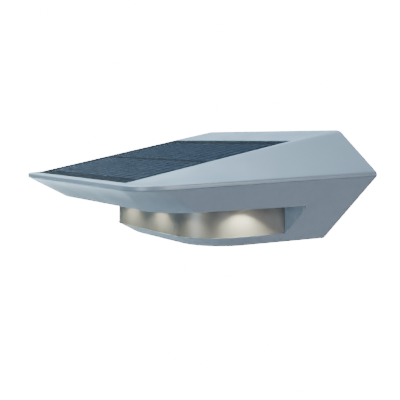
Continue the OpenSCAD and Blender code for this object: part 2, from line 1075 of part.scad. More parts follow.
module wall_bracket() {
  color(steel)
    difference() {
      union() {
        translate([0, 0, (plate_above - plate_below) / 2])
          rotate([90, 0, 0])
            rounded_plate(bracket_width / 2, (plate_above + plate_below) / 2, plate_corner, bracket_t);
        for (side = [-1, 1])
          translate([side * hook_x, 0, 0]) {
            box(
              [-hook_width / 2, -pocket_depth + move_gap, hook_top - hook_arm_t],
              [hook_width / 2, -bracket_t / 2, hook_top]
            );
            box(
              [-hook_width / 2, -pocket_depth + move_gap, hook_top - hook_arm_t],
              [hook_width / 2, -pocket_depth + move_gap + hook_t, hook_top + hook_height]
            );
          }
      }
      for (side = [-1, 1])
        translate([side * mount_spacing / 2, overrun, 0])
          rotate([90, 0, 0])
            cylinder(d = mount_hole_d, h = bracket_t + overrun * 2);
    }
}

// Leads

// The top of a plug on the control board
function plug_top(i) = [plug_places[i].x, -plug_places[i].y, board_z + board_t + plug_size.z];

function lead_way(start, end, shares) = concat(
  [start],
  [for (s = shares) [for (k = [0 : 2]) start[k] + (end[k] - start[k]) * s[k]]],
  [end]
);

// The way through a path's points, rounded from the middle of each stretch to the next
function soft_way(p) =
  let (n = len(p) - 1)
  concat(
    [p[0]],
    [for (i = [1 : n - 1]) for (t = [0 : 1 / lead_steps : 1 - last_step_share])
      bend((p[i - 1] + p[i]) / 2, p[i], (p[i] + p[i + 1]) / 2, t)],
    [(p[n - 1] + p[n]) / 2, p[n]]
  );

// A round lead swept along its way as one closed tube
module lead(path) {
  way = soft_way(path);
  n = len(way) - 1;
  points = [
    for (k = [0 : n])
      let (
        t = way[min(k + 1, n)] - way[max(k - 1, 0)],
        across = cross(t, lead_reference),
        u = across / norm(across),
        w = cross(t, u) / norm(t)
      )
      for (i = [0 : lead_sides - 1])
        let (a = 360 * i / lead_sides)
        way[k] + lead_r * (cos(a) * u + sin(a) * w)
  ];
  hung()
    polyhedron(
      points = points,
      faces = concat(
        [[for (i = [0 : lead_sides - 1]) i]],
        [[for (i = [lead_sides - 1 : -1 : 0]) n * lead_sides + i]],
        [for (k = [0 : n - 1]) for (i = [0 : lead_sides - 1])
          let (j = (i + 1) % lead_sides)
          [(k + 1) * lead_sides + i, (k + 1) * lead_sides + j, k * lead_sides + j]],
        [for (k = [0 : n - 1]) for (i = [0 : lead_sides - 1])
          let (j = (i + 1) % lead_sides)
          [(k + 1) * lead_sides + i, k * lead_sides + j, k * lead_sides + i]]
      )
    );
}

module panel_lead() {
  along = panel_back + lead_hole_inset;
  under = glass_t + cell_t + panel_board_t + lead_gap;
  start = [
    0, under * sin(roof_angle) - along * cos(roof_angle),
    height - along * sin(roof_angle) - under * cos(roof_angle)
  ];
  color("firebrick")
    lead(lead_way(start, plug_top(0), panel_lead_shares));
}

module led_lead() {
  start = [0, -slot_outline()[2] - lamp_reach, slot_ceiling + wall + led_board_t];
  color("white")
    lead(lead_way(start, plug_top(1), led_lead_shares));
}

module battery_lead() {
  start = [bay_half_x + tray_t, battery_lead_y - battery_y, cell_z + battery_lead_z];
  end = plug_top(2);
  color("firebrick")
    lead([
      start,
      start + [battery_lead_out, 0, 0],
      (start + end) / 2 + [battery_lead_out, 0, battery_lead_bow],
      end + [0, 0, battery_lead_bow],
      end
    ]);
}

wall_bracket();
main_housing();
top_cover();
rim_seal();
housing_screws();
panel_glass();
panel_cells_front();
panel_cells_back();
panel_board();
panel_tape();
reflector_band();
led_windows();
leds();
led_board();
control_board();
board_parts();
inner_screws();
battery_cells();
battery_tray();
battery_contacts();
battery_cover();
battery_cover_seal();
battery_cover_screws();
switch_body();
switch_stem();
switch_button();
switch_seal();
panel_lead();
led_lead();
battery_lead();
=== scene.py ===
import math

import bmesh
import bpy
from mathutils import Matrix, Vector


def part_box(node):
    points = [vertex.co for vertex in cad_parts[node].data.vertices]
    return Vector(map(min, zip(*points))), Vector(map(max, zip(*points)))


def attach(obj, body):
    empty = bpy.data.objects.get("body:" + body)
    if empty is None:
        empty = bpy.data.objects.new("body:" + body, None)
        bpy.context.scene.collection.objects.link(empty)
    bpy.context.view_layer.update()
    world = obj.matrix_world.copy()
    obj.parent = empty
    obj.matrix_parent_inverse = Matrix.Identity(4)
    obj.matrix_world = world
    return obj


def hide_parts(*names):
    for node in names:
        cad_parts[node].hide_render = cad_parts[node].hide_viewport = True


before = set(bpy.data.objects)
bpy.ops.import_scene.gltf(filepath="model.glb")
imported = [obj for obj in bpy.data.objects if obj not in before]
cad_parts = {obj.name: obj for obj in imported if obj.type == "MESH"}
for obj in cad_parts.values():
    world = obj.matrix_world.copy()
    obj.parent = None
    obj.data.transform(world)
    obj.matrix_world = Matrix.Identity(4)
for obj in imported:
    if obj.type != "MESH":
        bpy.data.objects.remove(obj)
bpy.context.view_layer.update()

# Camera: stands to the right of the light, almost level with its roof, and looks along the horizon.
# The lens and the place follow from the photograph's perspective.
camera_place = (0.4995, -0.4067, 0.05605)
camera_turn = math.radians(56.54)
bpy.ops.object.camera_add(location=camera_place, rotation=(math.radians(90), 0, camera_turn))
camera = bpy.context.object
camera.data.sensor_width = 36
camera.data.lens = 59.81
# The horizon lies this share of the picture's width above its middle
camera.data.shift_y = -0.1525
camera.data.clip_start = 0.01
bpy.context.scene.camera = camera


# Wall bracket: a zinc plated steel plate that two screws hold to the wall. Its two hooks are bent
# out of the plate, and the light is hung on them from above.
def node(tree, kind, **values):
    """Adds a shader node and sets its sockets, or its properties where no socket has the name."""
    made = tree.nodes.new(kind)
    for key, value in values.items():
        socket = key.replace("_", " ")
        if socket in made.inputs:
            made.inputs[socket].default_value = value
        else:
            setattr(made, key, value)
    return made


def placed(tree, place, kind, **values):
    """Adds a shader node that works on the given coordinates."""
    made = node(tree, kind, **values)
    tree.links.new(place, made.inputs["Vector"])
    return made


def finish_of(name, **values):
    """A new material: returns it with its tree, its shader and its object coordinates."""
    made = bpy.data.materials.new(name)
    made.use_nodes = True
    tree = made.node_tree
    shader = tree.nodes["Principled BSDF"]
    for key, value in values.items():
        shader.inputs[key.replace("_", " ")].default_value = value
    place = node(tree, "ShaderNodeTexCoord").outputs["Object"]
    return made, tree, shader, place


def grain(tree, shader, place, scale, depth, strength, detail=2):
    """Fine grain of a moulded or cast surface, as a bump."""
    noise = placed(tree, place, "ShaderNodeTexNoise", Scale=scale, Detail=detail)
    bump = node(tree, "ShaderNodeBump", Strength=strength, Distance=depth)
    tree.links.new(noise.outputs["Fac"], bump.inputs["Height"])
    tree.links.new(bump.outputs["Normal"], shader.inputs["Normal"])


def ramp(tree, value, *stops):
    """The colour that a value gets from a row of stops, each a place with a colour or a grey."""
    made = node(tree, "ShaderNodeValToRGB")
    marks = made.color_ramp.elements
    for spot, colour in stops[1:-1]:
        marks.new(spot)
    marks[0].position, marks[-1].position = stops[0][0], stops[-1][0]
    for mark, (spot, colour) in zip(marks, stops):
        mark.color = (*colour, 1) if isinstance(colour, tuple) else (colour, colour, colour, 1)
    tree.links.new(value, made.inputs["Fac"])
    return made.outputs["Color"]


def tones(tree, shader, place, scale, dark, light, socket="Base Color"):
    """A slow, cloudy change between two colours, or two greys for a roughness."""
    noise = placed(tree, place, "ShaderNodeTexNoise", Scale=scale, Detail=3)
    colour = ramp(tree, noise.outputs["Fac"], (0.35, dark), (0.65, light))
    tree.links.new(colour, shader.inputs[socket])
    return colour


def only(piece):
    """Makes a piece the one thing that operators act on."""
    if bpy.context.mode != "OBJECT":
        bpy.ops.object.mode_set(mode="OBJECT")
    bpy.ops.object.select_all(action="DESELECT")
    piece.select_set(True)
    bpy.context.view_layer.objects.active = piece


def shade(piece, angle):
    """Shades a piece smooth, but for edges sharper than an angle in degrees."""
    only(piece)
    bpy.ops.object.shade_smooth_by_angle(angle=math.radians(angle))


def dress(piece, materials, body, slot, *stands_for):
    """Gives a piece its materials and its body, and hides the imported solids it stands for; its
    slot is not used.
    """
    kept = [face.material_index for face in piece.data.polygons]
    piece.data.materials.clear()
    for material in materials if isinstance(materials, list) else [materials]:
        piece.data.materials.append(material)
    piece.data.polygons.foreach_set("material_index", kept)
    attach(piece, body)
    if stands_for:
        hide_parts(*stands_for)


same_spot, flat_angle = 1e-6, math.radians(0.2)


def piece_from(solid_name, name):
    """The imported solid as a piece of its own, with its loose triangles joined into whole faces."""
    only(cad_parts[solid_name])
    bpy.ops.object.duplicate()
    piece = bpy.context.object
    piece.name = name
    piece.parent = None
    for key in [k for k in piece.keys() if k.startswith("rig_")]:
        del piece[key]
    only(piece)
    bpy.ops.object.mode_set(mode="EDIT")
    bpy.ops.mesh.select_all(action="SELECT")
    bpy.ops.mesh.remove_doubles(threshold=same_spot)
    bpy.ops.mesh.dissolve_limited(angle_limit=flat_angle)
    bpy.ops.object.mode_set(mode="OBJECT")
    return piece


def soften(piece, width, sharp=40, smooth=30, steps=2):
    """Rounds a piece's sharp edges and shades the rest smooth."""
    only(piece)
    edges = piece.modifiers.new("edges", "BEVEL")
    edges.width = width
    edges.segments = steps
    edges.limit_method = "ANGLE"
    edges.angle_limit = math.radians(sharp)
    edges.use_clamp_overlap = True
    bpy.ops.object.modifier_apply(modifier=edges.name)
    shade(piece, smooth)
    flats = piece.modifiers.new("flats", "WEIGHTED_NORMAL")
    flats.keep_sharp = True
    bpy.ops.object.modifier_apply(modifier=flats.name)


def zinc_plate():
    """Zinc plating: pale grains of slightly different grey, with a dull sheen."""
    made, tree, shader, place = finish_of("bracket_zinc", Metallic=0.85)
    spangle = placed(tree, place, "ShaderNodeTexVoronoi", Scale=320).outputs["Color"]
    greys = ramp(tree, spangle, (0, (0.38, 0.39, 0.41)), (1, (0.56, 0.57, 0.58)))
    tree.links.new(greys, shader.inputs["Base Color"])
    tones(tree, shader, place, 60, 0.34, 0.5, "Roughness")
    grain(tree, shader, place, 900, 0.00003, 0.15)
    return made


bracket = piece_from("wall_bracket", "wall_plate")
soften(bracket, 0.0003)
dress(bracket, zinc_plate(), "bracket", "bracket_steel", "wall_bracket")


# Main housing: one deep injection moulding in silver painted plastic, with the undercut, the
# wrap-round slot, the flat back with its bracket pocket, and the underside. Its edges are softened
# by the mould.
def mix_of(tree, kind, *values):
    """Mixes two colours by a factor: takes the factor and both colours, as values or sockets."""
    made = node(tree, "ShaderNodeMix", data_type="RGBA", blend_type=kind)
    # The sockets for colours stand behind those for numbers and vectors
    for socket, value in zip((made.inputs[0], made.inputs[6], made.inputs[7]), values):
        if isinstance(value, bpy.types.NodeSocket):
            tree.links.new(value, socket)
        else:
            socket.default_value = value
    return made.outputs[2]


def silver_paint():
    """Satin silver-grey paint: fine flakes, a faint orange peel and slow changes of gloss."""
    made, tree, shader, place = finish_of(
        "silver_paint", Metallic=0.2, Coat_Weight=0.1, Coat_Roughness=0.3, Specular_IOR_Level=0.4
    )
    slow = tones(tree, shader, place, 14, (0.290, 0.365, 0.445), (0.315, 0.392, 0.475))
    flakes = placed(tree, place, "ShaderNodeTexVoronoi", Scale=5200).outputs["Color"]
    glitter = ramp(tree, flakes, (0, 0.93), (1, 1.07))
    tree.links.new(mix_of(tree, "MULTIPLY", 1, slow, glitter), shader.inputs["Base Color"])
    tones(tree, shader, place, 40, 0.32, 0.40, "Roughness")
    grain(tree, shader, place, 1500, 0.00004, 0.12)
    return made


paint = silver_paint()
housing = piece_from("main_housing", "housing_shell")
soften(housing, 0.00035)
dress(housing, paint, "lamp", "silver_paint", "main_housing")


# Lamps: a strip of white coated circuit board lies on the slot's ceiling and carries six small
# lamps, each a ceramic tray with a warm phosphor filling. A ribbed window is glued into the
# ceiling below each.
def solids_of(name):
    """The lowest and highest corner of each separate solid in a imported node."""
    mesh = bmesh.new()
    mesh.from_mesh(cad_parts[name].data)
    bmesh.ops.remove_doubles(mesh, verts=mesh.verts, dist=same_spot)
    waiting, boxes = set(mesh.verts), []
    while waiting:
        found, edge = [], [waiting.pop()]
        while edge:
            vertex = edge.pop()
            found.append(vertex.co.copy())
            near = {e.other_vert(vertex) for e in vertex.link_edges} & waiting
            waiting -= near
            edge.extend(near)
        low = Vector(min(c[k] for c in found) for k in range(3))
        high = Vector(max(c[k] for c in found) for k in range(3))
        boxes.append((low, high))
    mesh.free()
    return sorted(boxes, key=lambda b: (round(b[0].x, 4), round(b[0].y, 4)))


def put(piece, centre, axis=(0, 0, 1)):
    """Stands a piece that was made at the origin on a place, turned from +Z to an axis."""
    only(piece)
    turn = Vector((0, 0, 1)).rotation_difference(Vector(axis)).to_matrix().to_4x4()
    piece.matrix_world = Matrix.Translation(centre) @ turn
    bpy.ops.object.transform_apply()


def turned(name, rings, centre=(0, 0, 0), axis=(0, 0, 1), sides=40):
    """A round piece drawn out of a disc: each ring is a radius and a height along the axis."""
    bpy.ops.object.select_all(action="DESELECT")
    bpy.ops.mesh.primitive_circle_add(vertices=sides, radius=1, fill_type="NGON")
    piece = bpy.context.object
    piece.name = name
    bpy.ops.object.mode_set(mode="EDIT")
    wide, level = 1, 0
    for k, (radius, height) in enumerate(rings):
        if k:
            bpy.ops.mesh.extrude_region_move()
        growth = radius / wide
        bpy.ops.transform.resize(value=(growth, growth, 1), center_override=(0, 0, 0))
        bpy.ops.transform.translate(value=(0, 0, height - level))
        wide, level = radius, height
    bpy.ops.mesh.select_all(action="SELECT")
    bpy.ops.mesh.normals_make_consistent(inside=False)
    bpy.ops.object.mode_set(mode="OBJECT")
    put(piece, centre, axis)
    shade(piece, 35)
    return piece


def block(name, low, high, edge=0.0002):
    """A moulded block between two corners, with rounded edges."""
    low, high = Vector(low), Vector(high)
    bpy.ops.object.select_all(action="DESELECT")
    bpy.ops.mesh.primitive_cube_add(size=1, location=(low + high) / 2, scale=high - low)
    piece = bpy.context.object
    piece.name = name
    bpy.ops.object.transform_apply()
    bpy.ops.object.mode_set(mode="EDIT")
    bpy.ops.mesh.select_all(action="SELECT")
    bpy.ops.mesh.bevel(offset=edge, segments=2, affect="EDGES")
    bpy.ops.object.mode_set(mode="OBJECT")
    shade(piece, 30)
    return piece


def twin(piece, name):
    """A copy of a piece with its own mesh."""
    only(piece)
    bpy.ops.object.duplicate()
    bpy.context.object.name = name
    return bpy.context.object


def white_coating():
    """White solder mask, slightly glossy."""
    made, tree, shader, place = finish_of("lamp_board_white", Coat_Weight=0.3)
    tones(tree, shader, place, 90, (0.74, 0.75, 0.74), (0.82, 0.82, 0.80))
    tones(tree, shader, place, 50, 0.3, 0.42, "Roughness")
    return made


def ceramic():
    """Matt white ceramic of a lamp's tray."""
    made, tree, shader, place = finish_of("lamp_ceramic", Roughness=0.5)
    tones(tree, shader, place, 400, (0.80, 0.79, 0.74), (0.88, 0.87, 0.82))
    grain(tree, shader, place, 6000, 0.00001, 0.2)
    return made


def phosphor():
    """Warm phosphor filling, lit from inside."""
    made, tree, shader, place = finish_of("lamp_phosphor", Roughness=0.4, Emission_Strength=12)
    tones(tree, shader, place, 900, (0.95, 0.72, 0.30), (1.0, 0.80, 0.40))
    tones(tree, shader, place, 700, (1.0, 0.83, 0.55), (1.0, 0.88, 0.64), "Emission Color")
    return made


def frosted_window():
    """Frosted clear plastic that glows where the lamp behind it shines through."""
    made, tree, shader, place = finish_of(
        "window_frosted", Transmission_Weight=0.6, Roughness=0.35, IOR=1.49, Emission_Strength=5
    )
    tones(tree, shader, place, 500, (0.93, 0.93, 0.90), (0.98, 0.98, 0.95))
    tones(tree, shader, place, 300, (1.0, 0.86, 0.58), (1.0, 0.90, 0.66), "Emission Color")
    grain(tree, shader, place, 4000, 0.00002, 0.3)
    return made


board_strip = piece_from("led_board", "lamp_board_strip")
soften(board_strip, 0.00015)
dress(board_strip, white_coating(), "lamp", "lamp_board", "led_board")

# The window: its upper edge is glued in, and ribs run in rings over its underside
window_boxes = solids_of("led_windows")
low, high = window_boxes[0]
window_radius, window_t = (high.x - low.x) / 2, high.z - low.z
glued_edge, seen_edge, groove, rib = 0.0001, 0.0002, 0.00012, 0.0006
rings = [
    (window_radius - glued_edge, window_t), (window_radius, window_t - glued_edge),
    (window_radius, seen_edge), (window_radius - seen_edge, 0)
]
wide = window_radius - rib
while wide > rib:
    rings += [(wide, 0), (wide - rib / 4, groove), (wide - rib / 2, 0)]
    wide -= rib
window = turned("window", rings)

# The tray is hollowed from below to a third of its height, with a sloping wall
tray_size = Vector((0.0035, 0.0028, 0.0007))
tray_edge, tray_wall, tray_slope = 0.00012, 0.0003, 0.85
tray = block("tray", -tray_size / 2, tray_size / 2, tray_edge)
bpy.ops.object.mode_set(mode="EDIT")
bpy.ops.mesh.select_all(action="DESELECT")
mesh = bmesh.from_edit_mesh(tray.data)
for face in mesh.faces:
    faces_down = face.normal.z < -0.99
    face.select_set(faces_down and face.calc_area() > tray_size.x * tray_size.y / 2)
bmesh.update_edit_mesh(tray.data)
bpy.ops.mesh.inset(thickness=tray_wall)
bpy.ops.mesh.extrude_region_move(TRANSFORM_OT_translate={"value": (0, 0, tray_size.z / 3)})
bpy.ops.transform.resize(value=(tray_slope, tray_slope, 1))
bpy.ops.object.mode_set(mode="OBJECT")
shade(tray, 30)

# The filling's rings are shares of its radius, and heights over the tray's underside
dome_radius = 0.00095
dome_rings = ((1, 0.0003), (1, 0.00012), (0.9, 0.00003), (0.4, -0.00004))
dome = turned("dome", [(dome_radius * share, height) for share, height in dome_rings])

ceramic_white, warm_phosphor, frosted = ceramic(), phosphor(), frosted_window()
lamp_spots = []
pairs = zip(window_boxes, solids_of("leds"))
for k, ((low, high), (tray_low, tray_high)) in enumerate(pairs, start=1):
    middle = (low + high) / 2
    lamp_spots.append(Vector((middle.x, middle.y, low.z)))
    disc = twin(window, f"lamp_window_{k}")
    put(disc, lamp_spots[-1])
    dress(disc, frosted, "lamp", "window_clear", "led_windows")
    holder = twin(tray, f"lamp_tray_{k}")
    put(holder, (tray_low + tray_high) / 2)
    dress(holder, ceramic_white, "lamp", "lamp_phosphor", "leds")
    filling = twin(dome, f"lamp_filling_{k}")
    put(filling, (middle.x, middle.y, tray_low.z))
    dress(filling, warm_phosphor, "lamp", "lamp_phosphor", "leds")
for pattern in (window, tray, dome):
    bpy.data.objects.remove(pattern)


# Reflector band: a strip of satin metallised plastic bent round the core behind the slot. It is
# glued to the housing and turns the lamps' narrow cones into scallops of light.
def satin_metal():
    """Satin metal with a fine brushing that runs along the strip."""
    made, tree, shader, place = finish_of("satin_band", Metallic=0.35, Roughness=0.38)
    stretched = placed(tree, place, "ShaderNodeMapping", Scale=(60, 60, 6000)).outputs["Vector"]
    grain(tree, shader, stretched, 1, 0.00002, 0.1, detail=4)
    tones(tree, shader, place, 30, (0.20, 0.20, 0.19), (0.225, 0.225, 0.215))
    return made


band = piece_from("reflector_band", "satin_reflector")
soften(band, 0.0002)
dress(band, satin_metal(), "lamp", "satin_band", "reflector_band")


# Top cover: the roof with its two twisted side facets and the blunt lip, one moulding in the same
# paint. Its skin is drawn ring by ring from the lip up to the roof, then hollowed and given the
# panel's recess.
lip_front, lip_radius = 0.202, 0.028
lip_half, lip_front_half = 0.1384, 0.1168
roof_half, roof_front_half = 0.0972, 0.0893
roof_front, roof_radius = 0.1985, 0.003
underside = -0.030
side_cuts, corner_cuts = 40, 28


def outline(half, taper, front, radius, back=0.0):
    """Points of a round-cornered outline, from the wall's right round the front to its left."""
    lean = math.sqrt(1 + taper * taper)
    centre = Vector((half + taper * (radius - front) - radius * lean, radius - front))
    start = -math.atan(taper)
    sweep = [start - (math.pi / 2 + start) * k / corner_cuts for k in range(corner_cuts + 1)]
    corner = [centre + radius * Vector((math.cos(a), math.sin(a))) for a in sweep]
    rows = [-back + (corner[0].y + back) * k / side_cuts for k in range(side_cuts)]
    right = [Vector((half + taper * y, y)) for y in rows] + corner
    return right + [Vector((-p.x, p.y)) for p in reversed(right)]


def drawn_in(shape, side, front, back=0.0):
    """The same outline drawn in by a distance at its sides, front and back."""
    half, taper, reach, radius = shape[:4]
    return (half - side * math.sqrt(1 + taper * taper), taper, reach - front, radius - side, back)


def on_plane(shape, height, rise, up=0.0):
    """An outline laid on a plane that rises towards the wall; heights count from the underside."""
    return [Vector((p.x, p.y, height + rise * p.y + up + underside)) for p in outline(*shape)]


def drawn_up(name, rings):
    """A closed skin: a filled ring is extruded again and again, each copy to its own ring."""
    bpy.ops.object.select_all(action="DESELECT")
    bpy.ops.mesh.primitive_circle_add(vertices=len(rings[0]), fill_type="NGON")
    piece = bpy.context.object
    piece.name = name
    bpy.ops.object.mode_set(mode="EDIT")
    for level, ring in enumerate(rings):
        if level:
            bpy.ops.mesh.extrude_region_move()
        mesh = bmesh.from_edit_mesh(piece.data)
        mesh.verts.ensure_lookup_table()
        moved = [v for v in mesh.verts if v.select]
        for vertex, spot in zip(moved, ring):
            vertex.co = spot
        bmesh.update_edit_mesh(piece.data)
    bpy.ops.mesh.select_all(action="SELECT")
    bpy.ops.mesh.normals_make_consistent(inside=False)
    bpy.ops.object.mode_set(mode="OBJECT")
    return piece


def bend(a, b, c, t):
    """A point of the round way from a to c that has its corner at b."""
    return a * (1 - t) ** 2 + b * 2 * t * (1 - t) + c * t * t


def towards(a, b, distance):
    """The point at a distance from a on its way to b."""
    return a + (b - a).normalized() * distance


def cut_out(piece, *cutters):
    """Takes the cutters out of a piece and deletes them."""
    for cutter in cutters:
        only(piece)
        hole = piece.modifiers.new("hole", "BOOLEAN")
        hole.operation = "DIFFERENCE"
        hole.solver = "EXACT"
        hole.object = cutter
        bpy.ops.object.modifier_apply(modifier=hole.name)
        bpy.data.objects.remove(cutter)


lip_taper = (lip_half - lip_front_half) / lip_front
roof_taper = (roof_half - roof_front_half) / lip_front
lip_shape = (lip_half, lip_taper, lip_front, lip_radius)
roof_shape = (roof_half, roof_taper, roof_front, roof_radius)
ridge_z, lip_z, roof_z = 0.0567, 0.0509, 0.0937
band_wall, band_front = 0.0028, 0.0036
lip_rise = (ridge_z - lip_z) / lip_front
brow_rise = lip_rise - (band_front - band_wall) / lip_front
roof_rise = (roof_z - lip_z - band_front) / lip_front
lip_edge, brow_front, brow_wall = 0.0006, 0.0010, 0.0021
crease_front, crease_wall = 0.0008, 0.004
brow_steps, facet_steps, crease_steps = 6, 10, 5
roof_angle = math.atan(roof_rise)
roof_length = lip_front / math.cos(roof_angle)
panel_inset, panel_length = 0.0055, 0.1524
panel_front = roof_length - panel_inset
panel_back = panel_front - panel_length

lip = on_plane(lip_shape, ridge_z, lip_rise)
brow = on_plane(lip_shape, ridge_z + band_wall, brow_rise)
crease = on_plane(roof_shape, roof_z, roof_rise)
field = on_plane(drawn_in(roof_shape, crease_front, crease_front), roof_z, roof_rise)
wider = [(crease_wall - crease_front) * max(0, 1 + p.y / panel_back) for p in crease]
field = [p - Vector((math.copysign(w, p.x), 0, 0)) for p, w in zip(field, wider)]
rings = [
    on_plane(drawn_in(lip_shape, lip_edge, lip_edge), ridge_z, lip_rise),
    on_plane(lip_shape, ridge_z, lip_rise, lip_edge)
]
brow_rounds = [brow_wall + (brow_front - brow_wall) * min(1, -p.y / lip_front) for p in lip]
for t in [k / brow_steps for k in range(brow_steps + 1)]:
    rings.append([
        bend(towards(b, l, r), b, towards(b, c, r), t)
        for l, b, c, r in zip(lip, brow, crease, brow_rounds)
    ])
for share in [k / facet_steps for k in range(1, facet_steps)]:
    rings.append([
        towards(b, c, r).lerp(towards(c, b, crease_front + w), share)
        for b, c, w, r in zip(brow, crease, wider, brow_rounds)
    ])
for t in [k / crease_steps for k in range(crease_steps + 1)]:
    rings.append([
        bend(towards(c, b, crease_front + w), c, f, t)
        for b, c, f, w in zip(brow, crease, field, wider)
    ])
cover = drawn_up("roof_cover", rings)

# The hollow under the roof, which leaves the four screw posts standing
rim, hollow_front, hollow_side, back_wall, roof_wall = 0.008, 0.020, 0.001, 0.0064, 0.0046
past = 0.001
hollow = drawn_up("hollow", [
    on_plane(drawn_in(lip_shape, rim, hollow_front, back_wall), ridge_z, lip_rise, -past),
    on_plane(
        drawn_in(roof_shape, hollow_side, hollow_front, back_wall), roof_z, roof_rise, -roof_wall
    )
])


def rod(radius, low, high, x, y, sides=32):
    """An upright round cutter between two heights."""
    bpy.ops.object.select_all(action="DESELECT")
    bpy.ops.mesh.primitive_cylinder_add(
        vertices=sides, radius=radius, depth=high - low, location=(x, y, (low + high) / 2)
    )
    made = bpy.context.object
    bpy.ops.object.transform_apply()
    return made


post_places = [(side * x, -y) for side in (1, -1) for x, y in ((0.062, 0.020), (0.058, 0.090))]
post_radius, screw_radius, screw_bite = 0.0046, 0.00155, 0.0125
for x, y in post_places:
    cut_out(hollow, rod(post_radius, 0, roof_z, x, y))


def in_roof(x, along, under=0.0):
    """A point of the roof: across, down its slope from the wall, and under its surface."""
    slope = Matrix.Rotation(roof_angle, 3, "X")
    return slope @ Vector((x, -along, -under)) + Vector((0, 0, roof_z + underside))


def roof_slab(name, half_back, half_front, back, front, top, bottom):
    """A flat slab in the roof's own slope, between two depths under its surface."""
    flat = [(half_back, back), (half_front, front), (-half_front, front), (-half_back, back)]
    return drawn_up(name, [[in_roof(x, a, d) for x, a in flat] for d in (bottom, top)])


panel_half_back, panel_half_front, recess_depth = 0.0902, 0.0884, 0.0033
recess = roof_slab(
    "recess", panel_half_back, panel_half_front, panel_back, panel_front, -past, recess_depth
)
hole_radius, hole_low, hole_high, hole_inset = 0.004, 0.03, 0.06, 0.0125
lead_hole = rod(hole_radius, hole_low, hole_high, 0, -panel_back - hole_inset)
cut_out(cover, hollow, recess, lead_hole)
for x, y in post_places:
    seat = ridge_z + lip_rise * y + underside
    cut_out(cover, rod(screw_radius, seat - past, seat + screw_bite, x, y, sides=20))
shade(cover, 25)
dress(cover, paint, "lamp", "silver_paint", "top_cover")


# Solar panel: a clear pane with matt etched surface over two rows of narrow dark blue cell strips,
# on a black board whose margin shows round and between them. Foam tape sticks it into the roof's
# recess.
def etched_pane():
    """Clear pane with a fine etch: a thin slate haze and a soft shine over what lies under it."""
    made, tree, shader, place = finish_of("pane_glass", Alpha=0.3, Roughness=0.17)
    tones(tree, shader, place, 60, (0.012, 0.018, 0.028), (0.015, 0.022, 0.033))
    grain(tree, shader, place, 2200, 0.00002, 0.25)
    return made


def cell_silicon():
    """Dark blue silicon with fine conductors across each strip, a painted highlight along each
    strip's middle and painted shade at its edges.
    """
    made, tree, shader, place = finish_of("cell_silicon", Roughness=0.35)
    colour = tones(tree, shader, place, 70, (0.046, 0.064, 0.106), (0.055, 0.075, 0.122))
    slope = placed(tree, place, "ShaderNodeMapping", Rotation=(-roof_angle, 0, 0))
    across = placed(
        tree, slope.outputs["Vector"], "ShaderNodeTexWave",
        bands_direction="Y", Scale=wave_scale / finger_pitch
    )
    thin = ramp(tree, across.outputs["Fac"], (0.86, 0), (0.97, 1))
    lined = mix_of(tree, "MIX", thin, colour, (0.15, 0.20, 0.26, 1))
    along = placed(
        tree, place, "ShaderNodeTexWave", bands_direction="X", Scale=wave_scale / strip_pitch
    )
    # Painted light: a bright line along each strip's middle, and painted shade darkening towards its
    # edges
    painted_strip_light = ramp(tree, along.outputs["Fac"], (0, 1.5), (0.02, 1.0), (0.6, 1.0), (1, 0.55))
    with_painted_light = mix_of(tree, "MULTIPLY", 1, lined, painted_strip_light)
    tree.links.new(with_painted_light, shader.inputs["Base Color"])
    return made


def board_black():
    """Matt black board with the weave of its glass cloth just showing."""
    made, tree, shader, place = finish_of("board_black", Roughness=0.75, Specular_IOR_Level=0.2)
    tones(tree, shader, place, 120, (0.016, 0.020, 0.024), (0.024, 0.029, 0.034))
    grain(tree, shader, place, 1800, 0.00003, 0.3)
    return made


def soft_rubber(name, dark, light, scale=1200):
    """Matt rubber or foam with a fine open grain."""
    made, tree, shader, place = finish_of(name, Roughness=0.85, Specular_IOR_Level=0.3)
    tones(tree, shader, place, 80, dark, light)
    grain(tree, shader, place, scale, 0.00006, 0.4)
    return made


pane_gap, pane_t, hair = 0.0003, 0.0005, 0.00003
cell_t, plate_t, tape_t = 0.0002, 0.0023, 0.0003
slab_edges = (
    panel_half_back - pane_gap, panel_half_front - pane_gap,
    panel_back + pane_gap, panel_front - pane_gap
)
pane = roof_slab("panel_pane", *slab_edges, 0, pane_t)
soften(pane, 0.00012)
dress(pane, etched_pane(), "lamp", "pane", "panel_glass")

strips, strip_gap, margin_side = 13, 0.0008, 0.0075
margin_front, margin_back, row_line, row_gap = 0.013, 0.013, 0.080, 0.005
strip_pitch = (2 * panel_half_front - 2 * margin_side) / strips
finger_pitch = 0.00124
# A wave texture of this scale repeats once a metre
wave_scale = math.pi / 10
silicon = cell_silicon()
rows = {
    "panel_cells_back": (margin_back, row_line - row_gap / 2),
    "panel_cells_front": (row_line + row_gap / 2, panel_front - panel_back - margin_front)
}
for row, (begin, end) in rows.items():
    for k in range(strips):
        middle = (k - (strips - 1) / 2) * strip_pitch
        half = (strip_pitch - strip_gap) / 2
        left, right = middle - half, middle + half
        flat = [(right, begin), (right, end), (left, end), (left, begin)]
        strip = drawn_up(f"{row}_{k + 1}", [
            [in_roof(x, panel_back + a, d) for x, a in flat]
            for d in (pane_t + cell_t - hair, pane_t + hair)
        ])
        soften(strip, 0.00006)
        dress(strip, silicon, "lamp", "cell_strip", row)

plate = roof_slab("panel_plate", *slab_edges, pane_t + cell_t, pane_t + cell_t + plate_t)
soften(plate, 0.0001)
dress(plate, board_black(), "lamp", "board_black", "panel_board")
tape = piece_from("panel_tape", "panel_foam_tape")
soften(tape, 0.00008)
foam = soft_rubber("foam_tape", (0.030, 0.031, 0.033), (0.045, 0.046, 0.048), 2500)
dress(tape, foam, "lamp", "foam_tape", "panel_tape")


